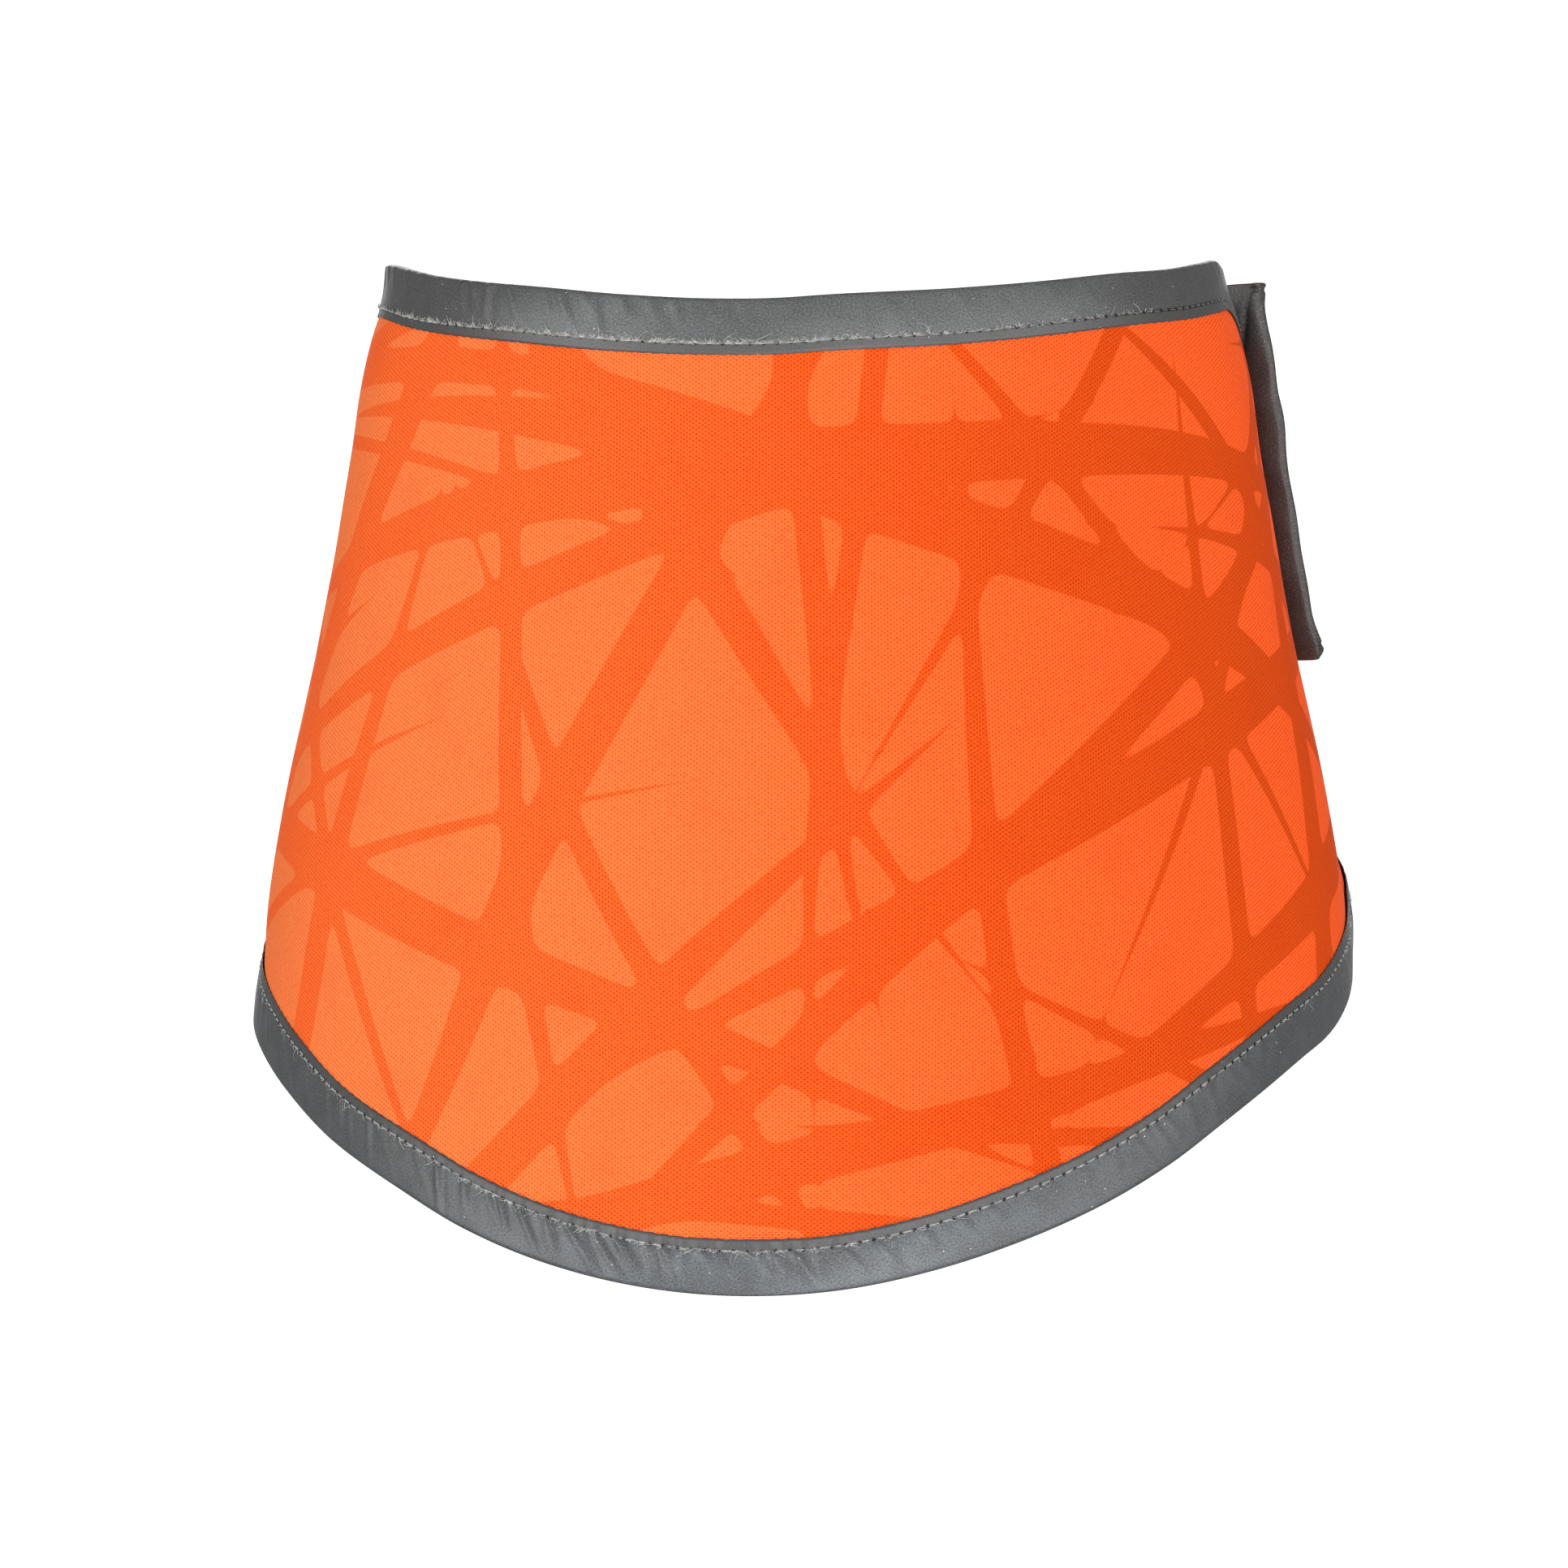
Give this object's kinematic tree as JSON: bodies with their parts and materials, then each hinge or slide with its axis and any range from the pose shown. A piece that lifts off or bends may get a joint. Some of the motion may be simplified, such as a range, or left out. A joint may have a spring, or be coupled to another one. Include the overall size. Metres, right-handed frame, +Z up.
{
  "type": "reflective bandana",
  "caption": "Wide reflective bandana in its worn form: an orange knit cloth ring lapped at one side, hanging down as a rounded bib, edged with folded grey reflective tape.",
  "frame": {"origin": "inside the neck ring where it is widest from side to side, at about the middle height of the strap that goes round the back of the neck", "axes": "+Z up along the neck, out of the neck opening; the bib hangs down on the -Y side; the outer wing ends on the +X side"},
  "size_m": [0.2525, 0.2127, 0.2284],
  "materials": {
    "panel": "blaze-orange knit mesh, matt",
    "tape": "grey retroreflective tape, fine glass-bead sheen",
    "hook_and_loop": "matt hook-and-loop pile"
  },
  "bodies": {
    "root": {"panel": "panel", "neck_binding": "tape", "hem_binding": "tape", "outer_end_binding": "tape", "inner_end_binding": "tape", "closure_patch": "hook_and_loop"}
  },
  "joints": []
}
